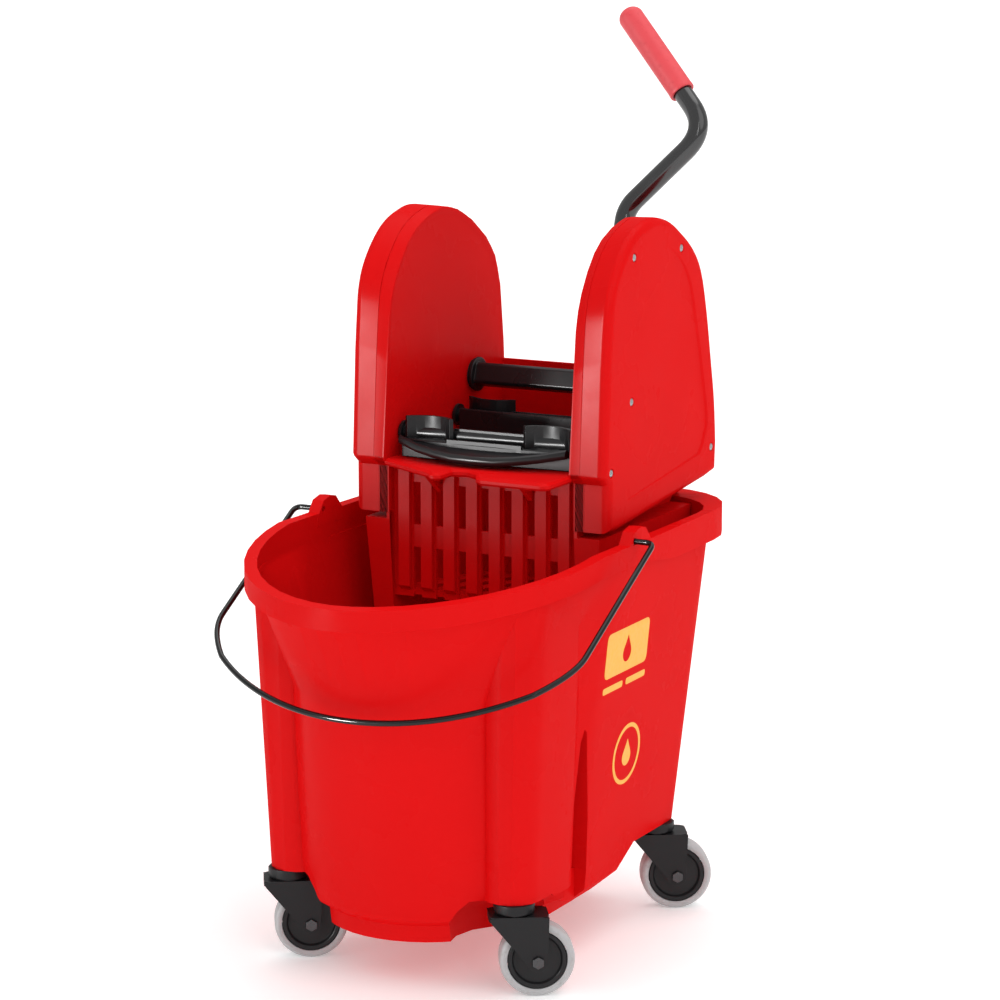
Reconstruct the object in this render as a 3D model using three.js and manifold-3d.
// Mop bucket with a down-press wringer, on four swivel casters.
// Millimetres, +Z up. X runs across the bucket, the bucket's round front lobe points along -Y.
// Heights are above the floor. Y = 0 is midway between the front and rear casters until the
// last lines, which move the origin to the middle of the footprint.
import * as THREE from 'three';
import { mergeVertices } from 'three/addons/utils/BufferGeometryUtils.js';
import Module from 'manifold-3d';

const wasm = await Module();
wasm.setup();

// ---------- driving dimensions ----------
const DEG = Math.PI / 180;
const GAP = 0.3;              // running gap between neighbouring pieces
const OVER = 1;               // how far a cutter passes a face
const WALL = 3.5;             // moulded wall

const RIM_Z = 438.6;          // rim top at the sides and rear
const RIM_HALF = 190;         // rim half width
const RIM_REAR_HALF = 186;    // rim half width at the rear corners
const RIM_REAR = 290;
const RIM_CORNER = 98;
const RIM_LIP = 10;           // rim overhang past the wall
const LOBE_Y = -81.4;         // where the straight sides turn into the lobe
const LOBE_REACH = 229.6;     // rim lobe length ahead of LOBE_Y
const LOBE_POWER = 1.89;      // superellipse exponent of the rim lobe
const RIM_DROP = 0.12;        // rim slope down toward the lobe tip

const SUMP_Z = 50;            // underside of the sump
const POD_Z = 96.5;           // underside of the caster pods

const CASTER_X = 131.6;
const CASTER_Y = 165;
const WHEEL_R = 38.1;
const WHEEL_HALF = 13.5;
const TRAIL = 22.65;
const TRAIL_ANGLE = 32.4 * DEG;
const WELL_R = 66;            // wheel well around each swivel axis

const PIVOT_Z = 442;          // bail pivots in the ears
const PIVOT_Y = -12;
const WIRE_R = 3;

const MOUTH_HALF = 109;       // inner faces of the cheeks
const SHELL_X = 121;          // parting line between cheek and cover
const COVER_X = 150;          // outer faces of the covers
const COVER_ROUND = 9.5;      // round between a cover's edge and its outer face
const LIP_Z = 500;

const MODULE_MM = 3;          // gear module
const TEETH = { shaft: 28, plate: 10, idler: 15 };
const PLATE_Z = 524;
const FRONT_Y = 39.3;
const IDLER_REACH = MODULE_MM * (TEETH.plate + TEETH.idler) / 2;
const REAR_Y = FRONT_Y + 2 * IDLER_REACH + MODULE_MM * TEETH.idler;
const SHAFT_BEARING = 43 * DEG;   // direction from the rear plate pivot to the shaft
const SHAFT_REACH = MODULE_MM * (TEETH.shaft + TEETH.plate) / 2;
const SHAFT_Y = REAR_Y + SHAFT_REACH * Math.cos(SHAFT_BEARING);
const SHAFT_Z = PLATE_Z + SHAFT_REACH * Math.sin(SHAFT_BEARING);
const GEAR_X = 124;           // inner face of the gears
const GEAR_WIDTH = 10;

const LEVER_X = 46;
const LEVER_LEAN = 18 * DEG;  // the lever leans back by this much at rest
const TUBE_R = 10.75;
const GRIP_R = 14;
const GRIP_LENGTH = 120;

// ---------- materials ----------
function plastic(color, roughness) {
  return new THREE.MeshStandardMaterial({ color, roughness, metalness: 0 });
}
const RED = plastic(0xd8191c, 0.38);
const GRIP_RED = plastic(0xe2555a, 0.5);
const BLACK = plastic(0x222324, 0.45);
const DARK_GREY = plastic(0x3a3c3e, 0.5);
const TYRE_GREY = plastic(0xb9bbbd, 0.6);
const BLACK_STEEL = new THREE.MeshStandardMaterial({ color: 0x141516, roughness: 0.3, metalness: 0.6 });
const ZINC = new THREE.MeshStandardMaterial({ color: 0xb4b8ba, roughness: 0.35, metalness: 1 });

// ---------- solids and booleans ----------
function solid(geometry) {
  const bare = geometry.clone();
  bare.deleteAttribute('normal');
  bare.deleteAttribute('uv');
  const merged = mergeVertices(bare, 1e-4);
  const vertProperties = new Float32Array(merged.attributes.position.array);
  const triVerts = new Uint32Array(merged.index.array);
  return new wasm.Manifold(new wasm.Mesh({ numProp: 3, vertProperties, triVerts }));
}

function geometryOf(manifold) {
  const mesh = manifold.getMesh();
  const geometry = new THREE.BufferGeometry();
  geometry.setAttribute('position', new THREE.BufferAttribute(new Float32Array(mesh.vertProperties), 3));
  geometry.setIndex(new THREE.BufferAttribute(new Uint32Array(mesh.triVerts), 1));
  geometry.computeVertexNormals();
  return geometry;
}

function join(parts) {
  return parts.reduce((total, part) => total.add(part));
}

function cut(body, tools) {
  return tools.reduce((total, tool) => total.subtract(tool), body);
}

function mirrored(geometry) {
  const copy = geometry.index ? geometry.toNonIndexed() : geometry.clone();
  copy.deleteAttribute('normal');
  copy.deleteAttribute('uv');
  copy.scale(-1, 1, 1);
  const position = copy.attributes.position;
  const first = new THREE.Vector3();
  const second = new THREE.Vector3();
  for (let i = 0; i < position.count; i += 3) {
    first.fromBufferAttribute(position, i);
    second.fromBufferAttribute(position, i + 1);
    position.setXYZ(i, second.x, second.y, second.z);
    position.setXYZ(i + 1, first.x, first.y, first.z);
  }
  const merged = mergeVertices(copy, 1e-4);
  merged.computeVertexNormals();
  return merged;
}

// A solid both as modelled on the +X side and mirrored to the -X side.
function bothSides(manifold) {
  return manifold.add(solid(mirrored(geometryOf(manifold))));
}

// ---------- outlines and lofts ----------
// Each ring is a list of [u, v] points, counter-clockwise, at level w. Rings have equal counts.
function loft(rings) {
  const count = rings[0].points.length;
  const positions = [];
  const index = [];
  for (const ring of rings) {
    for (const [u, v] of ring.points) {
      positions.push(u, v, ring.level);
    }
  }
  for (let k = 0; k + 1 < rings.length; k += 1) {
    for (let i = 0; i < count; i += 1) {
      const a = k * count + i;
      const b = k * count + (i + 1) % count;
      index.push(a, b, b + count, a, b + count, a + count);
    }
  }
  const last = (rings.length - 1) * count;
  const capOf = (ring) => {
    const contour = ring.points.map(([u, v]) => new THREE.Vector2(u, v));
    return THREE.ShapeUtils.triangulateShape(contour, []);
  };
  for (const [a, b, c] of capOf(rings[0])) {
    index.push(c, b, a);
  }
  for (const [a, b, c] of capOf(rings[rings.length - 1])) {
    index.push(last + a, last + b, last + c);
  }
  const geometry = new THREE.BufferGeometry();
  geometry.setAttribute('position', new THREE.Float32BufferAttribute(positions, 3));
  geometry.setIndex(index);
  return geometry;
}

// Turns a loft's (u, v, w) into (w, u, v), so that outlines drawn in Y and Z run along X.
const ALONG_X = new THREE.Matrix4().set(0, 0, 1, 0, 1, 0, 0, 0, 0, 1, 0, 0, 0, 0, 0, 1);

function prismX(points, x0, x1) {
  const rings = [{ points, level: x0 }, { points, level: x1 }];
  return solid(loft(rings).applyMatrix4(ALONG_X));
}

function prismZ(points, z0, z1) {
  return solid(loft([{ points, level: z0 }, { points, level: z1 }]));
}

function box(x0, x1, y0, y1, z0, z1) {
  const geometry = new THREE.BoxGeometry(x1 - x0, y1 - y0, z1 - z0);
  geometry.translate((x0 + x1) / 2, (y0 + y1) / 2, (z0 + z1) / 2);
  return solid(geometry);
}

function rodX(radius, x0, x1, y, z, sides = 16) {
  const geometry = new THREE.CylinderGeometry(radius, radius, x1 - x0, sides);
  geometry.rotateZ(-Math.PI / 2);
  geometry.translate((x0 + x1) / 2, y, z);
  return solid(geometry);
}

function rodZ(radius, z0, z1, x, y, sides = 16) {
  const geometry = new THREE.CylinderGeometry(radius, radius, z1 - z0, sides);
  geometry.rotateX(Math.PI / 2);
  geometry.translate(x, y, (z0 + z1) / 2);
  return solid(geometry);
}

function arcPoints(cu, cv, radius, from, to, steps) {
  const points = [];
  for (let i = 0; i <= steps; i += 1) {
    const angle = (from + (to - from) * i / steps) * DEG;
    points.push([cu + radius * Math.cos(angle), cv + radius * Math.sin(angle)]);
  }
  return points;
}

function roundedBox(u0, u1, v0, v1, radius, steps = 4) {
  return [
    ...arcPoints(u1 - radius, v0 + radius, radius, -90, 0, steps),
    ...arcPoints(u1 - radius, v1 - radius, radius, 0, 90, steps),
    ...arcPoints(u0 + radius, v1 - radius, radius, 90, 180, steps),
    ...arcPoints(u0 + radius, v0 + radius, radius, 180, 270, steps),
  ];
}

// Moves every side of a counter-clockwise outline inward by the same distance.
function inset(points, distance) {
  const count = points.length;
  return points.map((point, i) => {
    const before = points[(i + count - 1) % count];
    const after = points[(i + 1) % count];
    const [inX, inY] = sideNormal(before, point);
    const [outX, outY] = sideNormal(point, after);
    const scale = distance / (1 + inX * outX + inY * outY);
    return [point[0] - (inX + outX) * scale, point[1] - (inY + outY) * scale];
  });
}

function sideNormal(from, to) {
  const du = to[0] - from[0];
  const dv = to[1] - from[1];
  const length = Math.hypot(du, dv);
  return [dv / length, -du / length];
}

// A path of straight runs with round corners.
function bentPath(corners, radius) {
  const path = new THREE.CurvePath();
  let start = corners[0];
  for (let i = 1; i + 1 < corners.length; i += 1) {
    const toCorner = corners[i].clone().sub(start).normalize();
    const away = corners[i + 1].clone().sub(corners[i]).normalize();
    const turn = toCorner.angleTo(away);
    const cutBack = radius * Math.tan(turn / 2);
    const enter = corners[i].clone().addScaledVector(toCorner, -cutBack);
    const leave = corners[i].clone().addScaledVector(away, cutBack);
    path.add(new THREE.LineCurve3(start, enter));
    path.add(new THREE.QuadraticBezierCurve3(enter, corners[i], leave));
    start = leave;
  }
  path.add(new THREE.LineCurve3(start, corners[corners.length - 1]));
  return path;
}

function circleShape(radius, sides) {
  const points = arcPoints(0, 0, radius, 0, 360 - 360 / sides, sides - 1);
  return new THREE.Shape(points.map(([u, v]) => new THREE.Vector2(u, v)));
}

function sweep(shape, path, steps) {
  return new THREE.ExtrudeGeometry(shape, { extrudePath: path, steps, bevelEnabled: false });
}

function turned(profile, segments) {
  const points = profile.map(([radius, height]) => new THREE.Vector2(radius, height));
  return new THREE.LatheGeometry(points, segments);
}

const root = new THREE.Group();
function place(name, geometry, material) {
  const mesh = new THREE.Mesh(geometry, material);
  mesh.name = name;
  root.add(mesh);
  return mesh;
}

// ---------- bucket tub ----------
const LOBE_STEPS = 22;
const REAR_STEPS = 6;
const RIM_STRAIGHT = 40;      // the rim's sides run straight back to here

// Round front lobe closed by straight sides that run back to rearY.
function lobeRing(half, reach, power, rearY) {
  const points = [];
  for (let i = 0; i <= LOBE_STEPS; i += 1) {
    const angle = Math.PI + Math.PI * i / LOBE_STEPS;
    const across = Math.cos(angle);
    const ahead = Math.abs(Math.sin(angle));
    const u = half * Math.sign(across) * Math.abs(across) ** (2 / power);
    points.push([u, LOBE_Y - reach * ahead ** (2 / power)]);
  }
  points.push([half, rearY]);
  points.push([-half, rearY]);
  return points;
}

// Straight sides that end in two round corners at the rear.
function rearCorners(half, rear, corner) {
  return [
    ...arcPoints(half - corner, rear - corner, corner, 0, 90, REAR_STEPS),
    ...arcPoints(corner - half, rear - corner, corner, 90, 180, REAR_STEPS),
  ];
}

// Full rim outline: the lobe at the front, sides straight as far as RIM_STRAIGHT, round rear corners.
function rimRing(shrink, rearHalf, rear, corner) {
  const front = lobeRing(RIM_HALF - shrink, LOBE_REACH - shrink, LOBE_POWER, RIM_STRAIGHT);
  const [left] = front.splice(-1);
  return [...front, ...rearCorners(rearHalf, rear, corner), left];
}

// Lobe half width and reach at each height, from the sump to the rim.
const SKIRT_Z = 75;           // lower edge of the side walls
const LOBE_LEVELS = [
  { z: SUMP_Z, half: 116, reach: 128 },
  { z: SKIRT_Z - 7, half: 118.5, reach: 130.5 },
  { z: SKIRT_Z, half: 133, reach: 140 },
  { z: SKIRT_Z + 3, half: 134.5, reach: 141.5 },
  { z: 105, half: 142, reach: 146 },
  { z: 300, half: 140, reach: 172 },
  { z: 404, half: 180, reach: 217 },
  { z: RIM_Z + OVER, half: 180, reach: 219 },
];
const BLOCK_FRONT = -100;
const BLOCK_SLANT = { back: -45, width: 14 };   // each front corner, cut off at a slant
const BLOCK_LEVELS = [
  { z: SUMP_Z, half: 116, rearHalf: 114, rear: 196, corner: 26 },
  { z: SKIRT_Z, half: 146, rearHalf: 144, rear: 201, corner: 32 },
  { z: 404, half: 180, rearHalf: 176, rear: 243, corner: 60 },
  { z: RIM_Z - 2, half: 181, rearHalf: 177, rear: 250, corner: 62 },
];
const POD_LEVELS = [
  { z: POD_Z - 4, left: 94, right: 154, front: -184, corner: 30 },
  { z: 404, left: 94, right: 167, front: -194, corner: 32 },
];

function tubLofts(shrink, floor) {
  const level = (entry, i) => (i === 0 ? entry.z + floor : entry.z);
  const lobe = LOBE_LEVELS.map((entry, i) => ({
    points: lobeRing(entry.half - shrink, entry.reach - shrink, entry.z < 404 ? 2 : LOBE_POWER, 0),
    level: level(entry, i),
  }));
  const block = BLOCK_LEVELS.map((entry, i) => {
    const side = entry.half - shrink;
    const face = side - BLOCK_SLANT.width;
    return {
      points: [
        [-face, BLOCK_FRONT + shrink], [face, BLOCK_FRONT + shrink], [side, BLOCK_SLANT.back],
        ...rearCorners(entry.rearHalf - shrink, entry.rear - shrink, entry.corner - shrink),
        [-side, BLOCK_SLANT.back],
      ],
      level: level(entry, i),
    };
  });
  const pod = POD_LEVELS.map((entry, i) => ({
    points: roundedBox(entry.left, entry.right - shrink, entry.front + shrink, -60, entry.corner - shrink),
    level: level(entry, i),
  }));
  return join([solid(loft(lobe)), solid(loft(block)), bothSides(solid(loft(pod)))]);
}

// Room under the tub for the swinging wheels: a dome over each caster, and the corners behind
// the rear ones cut away altogether.
const WELL_SIDES = 16;
const REAR_WELL_X = 64;       // side of the sump between the rear wells
function wheelWells(grow) {
  const top = POD_Z + grow;
  const rim = WELL_R + grow;
  const profile = [[0, SUMP_Z - 10], [rim, SUMP_Z - 10], [rim, top - 22], [rim - 8, top - 10],
    [rim - 20, top], [0, top]];
  const wells = [];
  for (const x of [-CASTER_X, CASTER_X]) {
    for (const y of [-CASTER_Y, CASTER_Y]) {
      const well = turned(profile, WELL_SIDES);
      well.rotateX(Math.PI / 2);
      well.translate(x, y, 0);
      wells.push(solid(well));
    }
  }
  const slope = [[42 - grow, SUMP_Z - 10], [300, SUMP_Z - 10], [300, top], [80 - grow, top],
    [42 - grow, SKIRT_Z + grow]];
  return join([...wells, bothSides(prismX(slope, REAR_WELL_X - grow, RIM_HALF))]);
}

// Tapered upright groove in each side wall, with a ledge near its foot; inside it is a baffle
// that slows the water.
const LEDGE_Z = 97;
function sideRecesses(grow) {
  const above = [[-70 - grow, LEDGE_Z + grow], [-36 + grow, LEDGE_Z + grow], [-60 + grow, 250 + grow],
    [-64, 254 + grow], [-68 - grow, 240]];
  const below = [[-70 - grow, SUMP_Z - 10], [-34 + grow, SUMP_Z - 10], [-36 + grow, LEDGE_Z + grow + OVER],
    [-70 - grow, LEDGE_Z + grow + OVER]];
  return bothSides(prismX(above, 124 - grow, RIM_HALF).add(prismX(below, 134 - grow, RIM_HALF)));
}

// Side view of the rim band: dropping toward the front, deeper at the rear behind a soft wave.
function rimBandProfile() {
  const tip = LOBE_Y - LOBE_REACH - OVER;
  const drop = (LOBE_Y - tip) * RIM_DROP;
  const wave = [];
  const WAVE_STEPS = 6;
  for (let i = 0; i <= WAVE_STEPS; i += 1) {
    const t = i / WAVE_STEPS;
    wave.push([100 * t, RIM_Z - 21.5 - 10.5 * (t * t * (3 - 2 * t))]);
  }
  return [[tip, RIM_Z - 21.5 - drop], [LOBE_Y, RIM_Z - 21.5], ...wave,
    [RIM_REAR + OVER, RIM_Z - 32], [RIM_REAR + OVER, RIM_Z], [LOBE_Y, RIM_Z], [tip, RIM_Z - drop]];
}

// Everything above the sloping rim.
function aboveRim() {
  const tip = LOBE_Y - LOBE_REACH - 20;
  const drop = (LOBE_Y - tip) * RIM_DROP;
  const outline = [[tip, RIM_Z - drop], [LOBE_Y, RIM_Z], [RIM_REAR + 20, RIM_Z], [RIM_REAR + 20, RIM_Z + 60],
    [tip, RIM_Z + 60]];
  return prismX(outline, -RIM_HALF - 20, RIM_HALF + 20);
}

function rimBand() {
  const outline = prismZ(rimRing(0, RIM_REAR_HALF, RIM_REAR, RIM_CORNER), 360, RIM_Z + OVER);
  return outline.intersect(prismX(rimBandProfile(), -RIM_HALF - OVER, RIM_HALF + OVER));
}

function ears() {
  const outline = [[-25, 425], [27, 425], [27, 438], [14, 452.5], [2, 454.5], [PIVOT_Y, 451], [-25, 434]];
  const ear = prismX(outline, 176, 189.5);
  return bothSides(ear.subtract(rodX(WIRE_R + GAP, 170, 200, PIVOT_Y, PIVOT_Z, 12)));
}

function stemBosses(radius, z0, z1) {
  const bosses = [];
  for (const x of [-CASTER_X, CASTER_X]) {
    for (const y of [-CASTER_Y, CASTER_Y]) {
      bosses.push(rodZ(radius, z0, z1, x, y, 12));
    }
  }
  return join(bosses);
}

function bucketTub() {
  const outer = cut(tubLofts(0, 0), [wheelWells(0), sideRecesses(0), aboveRim()]);
  const opening = prismZ(rimRing(RIM_LIP + WALL, 176, 249, 80), RIM_Z - 28, RIM_Z + 5);
  const room = cut(tubLofts(WALL, WALL), [wheelWells(WALL), sideRecesses(WALL)]);
  const roomBelowRim = room.intersect(box(-200, 200, -350, 300, 0, RIM_Z - 27));
  const shell = cut(join([outer, rimBand()]), [roomBelowRim, opening]);
  const sockets = stemBosses(14, POD_Z, 138);
  return join([shell, ears(), sockets]).subtract(stemBosses(5.5 + GAP, POD_Z - OVER, 134));
}

// ---------- bail handle ----------
// Wire shape in its own plane: x across, r away from the pivot axis.
const BAIL_HALF = 211;        // legs at the pivots
const BAIL_SHOULDER = 209;    // legs at the shoulders
const BAIL_REACH = 301;
const BAIL_ARC = 271;         // radius of the front sweep
const BAIL_ARC_HALF = 178;    // half chord of the front sweep
const BAIL_DIP = 30 * DEG;    // the handle rests this far below level
const BAIL_END = 182;         // the wire's ends, inside the rim
const BAIL_HOOK = 9;          // bend where an end turns into its leg
const BAIL_SOFT = 26;         // length of leg that the shoulder's bend takes
const BAIL_STEPS = 60;

// A flat path carried into space by a function of its two coordinates.
class LiftedCurve extends THREE.Curve {
  constructor(path, lift) {
    super();
    this.path = path;
    this.lift = lift;
  }

  getPoint(t) {
    const point = this.path.getPoint(t);
    return this.lift(point.x, point.y);
  }
}

function bailPath() {
  const centre = BAIL_REACH - BAIL_ARC;
  const edge = Math.acos(BAIL_ARC_HALF / BAIL_ARC);
  const arcEnd = centre + BAIL_ARC * Math.sin(edge);
  const slope = 1 / Math.tan(edge);
  const cornerR = arcEnd - (BAIL_SHOULDER - BAIL_ARC_HALF) / slope;
  const path = new THREE.Path();
  path.moveTo(BAIL_END, 0);
  path.lineTo(BAIL_HALF - BAIL_HOOK, 0);
  path.quadraticCurveTo(BAIL_HALF, 0, BAIL_HALF, BAIL_HOOK);
  path.lineTo(BAIL_SHOULDER, cornerR - BAIL_SOFT);
  path.quadraticCurveTo(BAIL_SHOULDER, cornerR, BAIL_ARC_HALF, arcEnd);
  path.absarc(0, centre, BAIL_ARC, edge, Math.PI - edge, false);
  path.quadraticCurveTo(-BAIL_SHOULDER, cornerR, -BAIL_SHOULDER, cornerR - BAIL_SOFT);
  path.lineTo(-BAIL_HALF, BAIL_HOOK);
  path.quadraticCurveTo(-BAIL_HALF, 0, BAIL_HOOK - BAIL_HALF, 0);
  path.lineTo(-BAIL_END, 0);
  return path;
}

function bailHandle() {
  const lift = (x, r) => {
    const y = PIVOT_Y - r * Math.cos(BAIL_DIP);
    return new THREE.Vector3(x, y, PIVOT_Z - r * Math.sin(BAIL_DIP));
  };
  return sweep(circleShape(WIRE_R, 6), new LiftedCurve(bailPath(), lift), BAIL_STEPS);
}

// ---------- casters ----------
function casterStem() {
  const profile = [[0, 73.6], [8, 73.6], [8, 78.6], [5.5, 78.6], [5.5, 85.6], [20, 85.6], [21, 88],
    [21, POD_Z - GAP], [5.5, POD_Z - GAP], [5.5, 128], [0, 132]];
  const stem = turned(profile, 12);
  stem.rotateX(Math.PI / 2);
  return stem;
}

// Local frame of a caster: x along the trail, y across, z up, swivel axis at the origin.
function casterFork() {
  const boss = arcPoints(TRAIL, WHEEL_R, 10.5, -160, 20, 6);
  const leg = [[-24, 79], ...boss, [33, 58], [34, 84], [-26, 84]];
  const legSolid = (y0) => {
    const geometry = loft([{ points: leg, level: 0 }, { points: leg, level: 3.5 }]);
    geometry.rotateX(Math.PI / 2);
    geometry.translate(0, y0 + 3.5, 0);
    return solid(geometry);
  };
  const crown = prismZ(roundedBox(-26, 34, -19.5, 19.5, 8, 3), 79, 85);
  const axle = new THREE.CylinderGeometry(4 + GAP, 4 + GAP, 60, 12);
  axle.translate(TRAIL, 0, WHEEL_R);
  return cut(join([crown, legSolid(16), legSolid(-19.5)]), [rodZ(5.5 + GAP, 70, 90, 0, 0, 12), solid(axle)]);
}

const HUB_SIDES = 12;
function wheelHub() {
  const half = WHEEL_HALF - 1.5;
  const dish = half - 4;
  const profile = [[4 + GAP, -half - 1], [10, -half - 1], [11, -dish], [24, -dish], [30, -half], [30, half],
    [24, dish], [11, dish], [10, half + 1], [4 + GAP, half + 1], [4 + GAP, -half - 1]];
  return turned(profile, HUB_SIDES);
}

function wheelTyre() {
  const sides = 24;
  const tread = WHEEL_R / Math.cos(Math.PI / sides);
  const inner = 30 / Math.cos(Math.PI / HUB_SIDES) + GAP;
  const profile = [[inner, -WHEEL_HALF], [tread - 2.5, -WHEEL_HALF], [tread, -8], [tread, 8],
    [tread - 2.5, WHEEL_HALF], [inner, WHEEL_HALF], [inner, -WHEEL_HALF]];
  const tyre = turned(profile, sides);
  tyre.rotateY(Math.PI / sides);
  return tyre;
}

function axleBolt() {
  const shank = solid(new THREE.CylinderGeometry(4, 4, 40, 12));
  const head = (y) => solid(new THREE.CylinderGeometry(6.4, 6.4, 3.2, 6).translate(0, y, 0));
  return join([shank, head(21.4), head(-21.4)]);
}

function caster(tag, x, y) {
  const fork = new THREE.Group();
  fork.position.set(x, y, 0);
  fork.rotation.z = TRAIL_ANGLE;
  const stem = place(`caster_stem_${tag}`, casterStem(), BLACK);
  stem.position.set(x, y, 0);
  const pieces = [
    [`caster_fork_${tag}`, geometryOf(casterFork()), BLACK, 0, 0],
    [`wheel_hub_${tag}`, wheelHub(), DARK_GREY, TRAIL, WHEEL_R],
    [`wheel_tyre_${tag}`, wheelTyre(), TYRE_GREY, TRAIL, WHEEL_R],
    [`axle_bolt_${tag}`, geometryOf(axleBolt()), ZINC, TRAIL, WHEEL_R],
  ];
  for (const [name, geometry, material, px, pz] of pieces) {
    const mesh = new THREE.Mesh(geometry, material);
    mesh.name = name;
    mesh.position.set(px, 0, pz);
    fork.add(mesh);
  }
  root.add(fork);
}

// ---------- wringer cheeks and covers ----------
// Side view of a cheek in Y and Z, counter-clockwise from the front foot: at its inner face, and
// at the outer edge of its cover.
const INNER_EDGE = [
  [34.5, 440], [252, 461], [271, 466], [274, 492], [274, 545], [271, 592], [263, 655], [251, 688],
  [230, 711], [197, 733], [163, 748], [128, 753], [96, 746], [72, 736], [55, 724], [39, 706], [26, 686],
  [18, 668], [13, 648], [8, 600], [-1, 502], [1.5, 497.5], [10, 491],
];
const OUTER_EDGE = [
  [34.5, 440], [252, 461], [277, 465], [279, 498], [274.5, 543.5], [264.5, 591], [251.5, 647], [237, 689],
  [216, 715], [184, 736], [154, 750], [118, 756], [92, 752], [72, 745.5], [54, 735], [34.5, 717], [20, 697],
  [12, 675], [9, 652], [5, 612], [-1, 502], [1.5, 497.5], [10, 491],
];
const PARTING_SHARE = 0.6;    // where the parting line lies between the two outlines
const FRONT_FOOT = [10, 441];
const SCREWS = [[66, 720], [180.5, 718], [62, 571], [262, 493], [15, 504]];
const IDLER_YS = [FRONT_Y + IDLER_REACH, REAR_Y - IDLER_REACH];

function cheekOutline(share) {
  const between = INNER_EDGE.map(([y, z], i) => [
    y + (OUTER_EDGE[i][0] - y) * share,
    z + (OUTER_EDGE[i][1] - z) * share,
  ]);
  return [FRONT_FOOT, ...between];
}

function cheek() {
  const rings = [
    { points: cheekOutline(0), level: MOUTH_HALF },
    { points: cheekOutline(PARTING_SHARE), level: SHELL_X },
  ];
  const block = solid(loft(rings).applyMatrix4(ALONG_X));
  const pocket = inset(cheekOutline(0), WALL);
  const plate = block.subtract(prismX(pocket, MOUTH_HALF + WALL, SHELL_X + OVER));
  const bosses = SCREWS.map(([y, z]) => rodX(4.5, MOUTH_HALF + 1, SHELL_X - GAP, y, z, 8));
  const idlerPins = IDLER_YS.map((y) => rodX(5, MOUTH_HALF + 1, GEAR_X + GEAR_WIDTH + 2, y, PLATE_Z, 12));
  const boreEnd = SHELL_X + OVER;
  const holes = [
    rodX(9, MOUTH_HALF - OVER, boreEnd, FRONT_Y, PLATE_Z),
    rodX(9, MOUTH_HALF - OVER, boreEnd, REAR_Y, PLATE_Z),
    rodX(13 + GAP, MOUTH_HALF - OVER, boreEnd, SHAFT_Y, SHAFT_Z),
    ...SCREWS.map(([y, z]) => rodX(1.9, MOUTH_HALF + WALL, boreEnd, y, z, 6)),
  ];
  return cut(join([plate, ...bosses, ...idlerPins]), holes);
}

const HEAD_R = 4;             // screw head
const HEAD_DEPTH = 2.2;
function coverGeometry() {
  const ring = (x, share, distance) => ({ points: inset(cheekOutline(share), distance), level: x });
  const start = COVER_X - COVER_ROUND;
  const half = COVER_ROUND * Math.SQRT1_2;
  const rings = [
    ring(SHELL_X + GAP, PARTING_SHARE, 0),
    ring(start, 1, 0),
    ring(start + half, 1, COVER_ROUND - half),
    ring(COVER_X, 1, COVER_ROUND),
  ];
  const skin = solid(loft(rings).applyMatrix4(ALONG_X));
  const cavity = prismX(inset(cheekOutline(1), WALL + 4), SHELL_X, COVER_X - WALL);
  const holes = SCREWS.flatMap(([y, z]) => [
    rodX(2, SHELL_X, COVER_X + OVER, y, z, 6),
    rodX(HEAD_R + GAP, COVER_X - HEAD_DEPTH - GAP, COVER_X + OVER, y, z, 10),
  ]);
  return geometryOf(cut(skin, [cavity, ...holes]));
}

function coverScrew(y, z) {
  const shank = rodX(1.6, MOUTH_HALF + WALL + OVER, COVER_X - 1, y, z, 6);
  return geometryOf(join([shank, rodX(HEAD_R, COVER_X - HEAD_DEPTH, COVER_X, y, z, 10)]));
}

// ---------- wringer basket ----------
const BASKET_Z = 300;
const PANEL_Y = 22;
const SLOT_PITCH = 27;

// Hollow side column, open at the bottom, that reaches down into the bucket.
function sideColumn() {
  const ring = (x1, y0, y1, z) => ({
    points: [[MOUTH_HALF, y0], [x1, y0], [x1, y1], [MOUTH_HALF, y1]], level: z,
  });
  const outer = solid(loft([ring(131, 22, 219, BASKET_Z), ring(138, 11, 236, 434)]));
  const inner = (x1, y0, y1, z) => ({
    points: [[MOUTH_HALF + WALL, y0], [x1, y0], [x1, y1], [MOUTH_HALF + WALL, y1]], level: z,
  });
  const room = solid(loft([inner(127.5, 26, 215, BASKET_Z - OVER), inner(134, 15, 232, 430)]));
  const collar = prismX([[11, 433], [236, 433], [246, 442], [263, 442], [264, 480], [11, 480]], MOUTH_HALF,
    MOUTH_HALF + WALL);
  return join([outer.subtract(room), collar]);
}

function rearWall() {
  const outline = [
    [214, BASKET_Z], [218, BASKET_Z], [237, 430], [247, 439.2], [265, 439.2], [268, 480], [273, 571],
    [269, 571], [263, 480], [261, 443.5], [243, 443.5], [232, 430],
  ];
  return prismX(outline, -MOUTH_HALF - 1, MOUTH_HALF + 1);
}

function basketFloor() {
  const outline = [[24, 352], [216, 330], [222, 334], [222, 338], [24, 358]];
  const slots = [];
  for (let k = -3; k <= 3; k += 1) {
    const x = k * SLOT_PITCH;
    slots.push(box(x - 6, x + 6, 44, 200, 320, 365));
  }
  return cut(prismX(outline, -MOUTH_HALF - 1, MOUTH_HALF + 1), slots);
}

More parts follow.
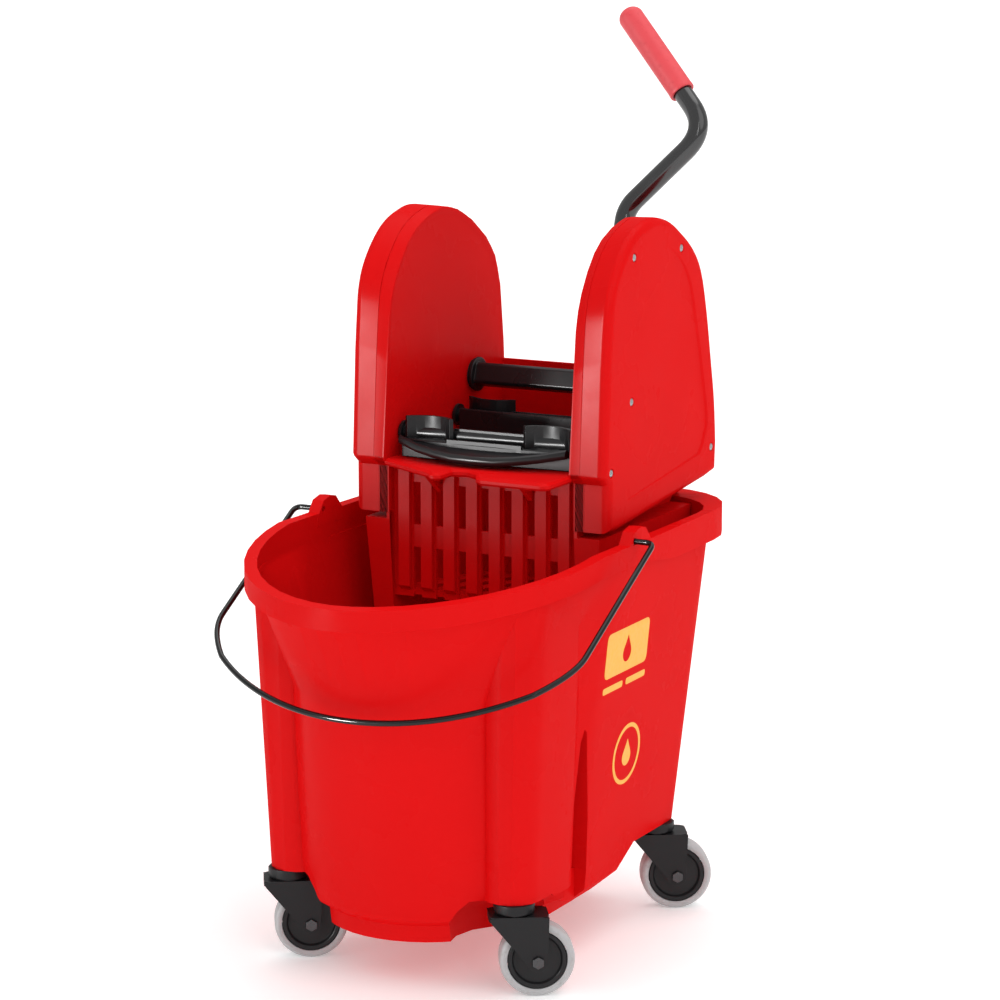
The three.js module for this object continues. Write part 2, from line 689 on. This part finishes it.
// Slotted front panel with upright ribs that end as teeth.
function frontPanel() {
  const parts = [box(-MOUTH_HALF - 1, MOUTH_HALF + 1, PANEL_Y, PANEL_Y + 4, 350, 496)];
  for (let k = -4; k <= 3; k += 1) {
    const x = (k + 0.5) * SLOT_PITCH;
    parts.push(prismX([[PANEL_Y - 6, 362], [PANEL_Y + 1, 356], [PANEL_Y + 1, 494], [PANEL_Y - 6, 494]],
      x - 6.5, x + 6.5));
  }
  const slots = [];
  for (let k = -3; k <= 3; k += 1) {
    const x = k * SLOT_PITCH;
    slots.push(box(x - 5, x + 5, PANEL_Y - 10, PANEL_Y + 10, 428, 474));
    slots.push(box(x - 5, x + 5, PANEL_Y - 10, PANEL_Y + 10, 340, 404));
  }
  return cut(join(parts), slots);
}

// Pouring lip in plan: a slanted left lobe, a finger notch and a square right lobe.
function frontLip() {
  const outline = [
    [-MOUTH_HALF - 1, 3], [-34, -40], ...arcPoints(-24, -41, 9, 250, 330, 3), [-15, -22], [0, -18],
    [16, -28], [26, -48], [34, -52], ...arcPoints(101, -44, 8, 270, 360, 3), [MOUTH_HALF + 1, -12],
    [MOUTH_HALF + 1, PANEL_Y + 4], [-MOUTH_HALF - 1, PANEL_Y + 4],
  ];
  const rings = [[LIP_Z - 8, 2.5], [LIP_Z - 5.5, 0], [LIP_Z - 2.5, 0], [LIP_Z, 2.5]];
  const plate = solid(loft(rings.map(([z, d]) => ({ points: inset(outline, d), level: z }))));
  const gusset = [[PANEL_Y - 2, 466], [PANEL_Y - 2, LIP_Z - 4], [-16, LIP_Z - 4], [-14, LIP_Z - 7]];
  const gussets = [-54, 54].map((x) => prismX(gusset, x - 3, x + 3));
  return join([plate, ...gussets]);
}

function wringerBody() {
  const sides = [bothSides(cheek()), bothSides(sideColumn())];
  return geometryOf(join([...sides, rearWall(), basketFloor(), frontPanel(), frontLip()]));
}

// ---------- press plates ----------
// Cross-section in u (away from the wringer's middle) and v (up) at a share of the half width.
const PLATE_HALF = 103;
const FRONT_PLATE = { reach: 46, droop: 16 };   // how far the nose stands out, and how low
const REAR_PLATE = { reach: 27, droop: 8 };
function plateSection(share, reach, droop) {
  const noseU = reach * (1 - 0.5 * share * share);
  const noseV = -droop * (1 - 0.7 * share * share);
  return [
    [-7, 3], [-7, -7], [1, -9.5], [noseU - 3, noseV - 4.5],
    ...arcPoints(noseU, noseV, 5, -70, 80, 4), [noseU - 5, noseV + 1.5], [5, -4], [4, 3],
  ];
}

function pressPlate({ reach, droop }) {
  const rings = [];
  const stations = 8;
  for (let i = 0; i <= stations; i += 1) {
    const share = 2 * i / stations - 1;
    rings.push({ points: plateSection(share, reach, droop), level: share * (PLATE_HALF - 5) });
  }
  const floor = solid(loft(rings).applyMatrix4(ALONG_X));
  const scallop = [...arcPoints(70, 36, 38, -139, -41, 6), ...arcPoints(70, 36, 34, -42, -138, 6)];
  const wall = prismZ(scallop.map(([x, u]) => [x, Math.min(u, reach - 2)]), -7, 19);
  const spine = [rodX(7, -136, 136, 0, 0, 12)];
  const discs = [-PLATE_HALF - 4, PLATE_HALF + 1].map((x) => rodX(12, x, x + 3, 0, 0, 16));
  const ribs = [box(-44, 44, 1, 4, -6, 8), box(-44, 44, reach * 0.4, reach * 0.4 + 3, -droop, -1)];
  return geometryOf(join([floor, bothSides(wall), ...spine, ...discs, ...ribs]));
}

// ---------- gear train ----------
const TOOTH_TIP = 0.8 * MODULE_MM;
const TOOTH_ROOT = 1.25 * MODULE_MM;

function gear(teeth, phase, bore, y, z) {
  const pitchR = teeth * MODULE_MM / 2;
  const pitch = 2 * Math.PI / teeth;
  const outline = [];
  for (let k = 0; k < teeth; k += 1) {
    const middle = phase + k * pitch;
    const corners = [[pitchR - TOOTH_ROOT, -0.27], [pitchR + TOOTH_TIP, -0.1], [pitchR + TOOTH_TIP, 0.1],
      [pitchR - TOOTH_ROOT, 0.27]];
    for (const [radius, share] of corners) {
      const angle = middle + share * pitch;
      outline.push([y + radius * Math.cos(angle), z + radius * Math.sin(angle)]);
    }
  }
  const blank = prismX(outline, GEAR_X, GEAR_X + GEAR_WIDTH);
  return geometryOf(blank.subtract(rodX(bore + GAP, GEAR_X - OVER, GEAR_X + GEAR_WIDTH + OVER, y, z, 12)));
}

// Phase that puts a gap of the next gear on a tooth of this one, along the line of centres.
function meshedPhase(phase, teeth, nextTeeth, bearing) {
  const pitch = 2 * Math.PI / teeth;
  const nextPitch = 2 * Math.PI / nextTeeth;
  const share = (bearing - phase) / pitch;
  return bearing + Math.PI + (share + 0.5) * nextPitch;
}

const PHASES = {};
PHASES.shaft = SHAFT_BEARING;
PHASES.rear = meshedPhase(PHASES.shaft, TEETH.shaft, TEETH.plate, SHAFT_BEARING + Math.PI);
PHASES.idlerRear = meshedPhase(PHASES.rear, TEETH.plate, TEETH.idler, Math.PI);
PHASES.idlerFront = meshedPhase(PHASES.idlerRear, TEETH.idler, TEETH.idler, Math.PI);
PHASES.front = meshedPhase(PHASES.idlerFront, TEETH.idler, TEETH.plate, Math.PI);
const GEARS = [
  ['shaft_gear', TEETH.shaft, PHASES.shaft, 8, SHAFT_Y, SHAFT_Z],
  ['rear_plate_gear', TEETH.plate, PHASES.rear, 7, REAR_Y, PLATE_Z],
  ['idler_gear_rear', TEETH.idler, PHASES.idlerRear, 5, IDLER_YS[1], PLATE_Z],
  ['idler_gear_front', TEETH.idler, PHASES.idlerFront, 5, IDLER_YS[0], PLATE_Z],
  ['front_plate_gear', TEETH.plate, PHASES.front, 7, FRONT_Y, PLATE_Z],
];

// ---------- cross shaft and lever ----------
const BAR = 12;               // half the bar's section
const LEVER_CORNERS = [[0, 21], [0, 193], [83, 284.6], [-27, 405]];   // across from LEVER_X, up the lean
const HUB_R = 18;
const TUBE_BEND = 38;         // bend radius of the tube

function leverPoint([across, up]) {
  const y = SHAFT_Y + up * Math.sin(LEVER_LEAN);
  return new THREE.Vector3(LEVER_X + across, y, SHAFT_Z + up * Math.cos(LEVER_LEAN));
}

// Square bar section, its corners cut, turned with the lever's lean.
function barSection(half) {
  const corner = half - 3;
  const flat = [[half, -corner], [half, corner], [corner, half], [-corner, half], [-half, corner],
    [-half, -corner], [-corner, -half], [corner, -half]];
  const turn = -LEVER_LEAN;
  return flat.map(([u, v]) => [
    SHAFT_Y + u * Math.cos(turn) - v * Math.sin(turn),
    SHAFT_Z + u * Math.sin(turn) + v * Math.cos(turn),
  ]);
}

function crossShaft() {
  const bar = prismX(barSection(BAR), -102, 102);
  const flanges = [-106, 102].map((x) => rodX(19, x, x + 4, SHAFT_Y, SHAFT_Z, 20));
  return geometryOf(join([bar, rodX(8, -145, 145, SHAFT_Y, SHAFT_Z), ...flanges]));
}

function shaftBush() {
  const sleeve = rodX(13, MOUTH_HALF + 1, SHELL_X, SHAFT_Y, SHAFT_Z);
  const flange = rodX(17, MOUTH_HALF - 1.5, MOUTH_HALF - GAP, SHAFT_Y, SHAFT_Z);
  const neck = rodX(13, MOUTH_HALF - 1.5, MOUTH_HALF + 2, SHAFT_Y, SHAFT_Z);
  const bore = rodX(8 + GAP, 100, 130, SHAFT_Y, SHAFT_Z);
  return geometryOf(join([sleeve, flange, neck]).subtract(bore));
}

function returnSpring() {
  class Helix extends THREE.Curve {
    getPoint(t, target = new THREE.Vector3()) {
      const turns = 2.5;
      const angle = t * turns * 2 * Math.PI;
      const x = GEAR_X + GEAR_WIDTH + 2.4 + t * 7;
      return target.set(x, SHAFT_Y + 12 * Math.cos(angle), SHAFT_Z + 12 * Math.sin(angle));
    }
  }
  return sweep(circleShape(1.1, 4), new Helix(), 22);
}

// A rod in the lever's own plane, from up = from to up = to along the lean.
function leanRod(radius, from, to, sides) {
  const rod = new THREE.CylinderGeometry(radius, radius, to - from, sides);
  rod.translate(0, (from + to) / 2, 0);
  rod.rotateX(Math.PI / 2 - LEVER_LEAN);
  rod.translate(LEVER_X, SHAFT_Y, SHAFT_Z);
  return solid(rod);
}

const BOLT_UPS = [32, 46];     // the lever's two bolts, up the lean
const BOLT_R = 3;
const BOLT_HEAD_R = 5.5;
const BOLT_HEAD = [15.4, 19];  // a head's inner and outer face, from the lever's middle

function leverBoltRod(radius, half, up, sides) {
  const at = leverPoint([0, up]);
  return rodX(radius, LEVER_X - half, LEVER_X + half, at.y, at.z, sides);
}

function leverHub() {
  const barrel = rodX(HUB_R, LEVER_X - 16, LEVER_X + 16, SHAFT_Y, SHAFT_Z, 20);
  const body = join([barrel, leanRod(15, 8, 56, 16)]);
  const barHole = prismX(barSection(BAR + GAP), LEVER_X - 20, LEVER_X + 20);
  const bolts = BOLT_UPS.map((up) => leverBoltRod(BOLT_R + GAP, 30, up, 10));
  return geometryOf(cut(body, [barHole, leanRod(TUBE_R + 2 * GAP, 20, 60, 16), ...bolts]));
}

function leverTube() {
  const wall = circleShape(TUBE_R, 10);
  wall.holes.push(new THREE.Path(circleShape(TUBE_R - 2, 6).getPoints()));
  const tube = solid(sweep(wall, bentPath(LEVER_CORNERS.map(leverPoint), TUBE_BEND), 20));
  return geometryOf(cut(tube, BOLT_UPS.map((up) => leverBoltRod(BOLT_R + GAP, 30, up, 10))));
}

function leverBolt(up) {
  const at = leverPoint([0, up]);
  const [inner, outer] = BOLT_HEAD;
  const head = rodX(BOLT_HEAD_R, LEVER_X + inner, LEVER_X + outer, at.y, at.z, 6);
  const nut = rodX(BOLT_HEAD_R, LEVER_X - outer, LEVER_X - inner, at.y, at.z, 6);
  return geometryOf(join([leverBoltRod(BOLT_R, inner + 0.6, up, 10), head, nut]));
}

function leverGrip() {
  const bore = TUBE_R + GAP;
  const profile = [[0, 10], [GRIP_R - 5, 9], [GRIP_R - 1.5, 5.5], [GRIP_R, 0], [GRIP_R, 10 - GRIP_LENGTH],
    [bore, 10 - GRIP_LENGTH], [bore, GAP], [0, GAP]];
  const grip = turned(profile.reverse(), 16);
  const end = leverPoint(LEVER_CORNERS[3]);
  const along = end.clone().sub(leverPoint(LEVER_CORNERS[2])).normalize();
  grip.applyQuaternion(new THREE.Quaternion().setFromUnitVectors(new THREE.Vector3(0, 1, 0), along));
  grip.translate(end.x, end.y, end.z);
  return grip;
}

// ---------- assembly ----------
place('bucket_tub', geometryOf(bucketTub()), RED);
place('bail_handle', bailHandle(), BLACK_STEEL);
for (const [end, y] of [['front', -CASTER_Y], ['rear', CASTER_Y]]) {
  for (const [side, x] of [['left', -CASTER_X], ['right', CASTER_X]]) {
    caster(`${end}_${side}`, x, y);
  }
}
place('wringer_body', wringerBody(), RED);
const pairs = [
  ['cheek_cover', coverGeometry(), RED],
  ['shaft_bush', shaftBush(), DARK_GREY],
  ['return_spring', returnSpring(), ZINC],
  ...GEARS.map(([name, ...shape]) => [name, gear(...shape), BLACK]),
  ...SCREWS.map(([y, z], i) => [`cover_screw_${i + 1}`, coverScrew(y, z), ZINC]),
];
for (const [name, geometry, material] of pairs) {
  place(`${name}_right`, geometry, material);
  place(`${name}_left`, mirrored(geometry), material);
}
// The front plate faces the other way, so its shape is turned about the upright axis.
place('press_plate_front', pressPlate(FRONT_PLATE).rotateZ(Math.PI), BLACK).position.set(0, FRONT_Y, PLATE_Z);
place('press_plate_rear', pressPlate(REAR_PLATE), BLACK).position.set(0, REAR_Y, PLATE_Z);
place('cross_shaft', crossShaft(), BLACK);
place('lever_hub', leverHub(), BLACK_STEEL);
place('lever_tube', leverTube(), BLACK_STEEL);
place('lever_grip', leverGrip(), GRIP_RED);
BOLT_UPS.forEach((up, i) => place(`lever_bolt_${i + 1}`, leverBolt(up), ZINC));

root.updateMatrixWorld(true);
const bounds = new THREE.Box3().setFromObject(root, true);
const middle = bounds.getCenter(new THREE.Vector3());
root.position.set(-middle.x, -middle.y, -bounds.min.z);
root.updateMatrixWorld(true);

export default root;
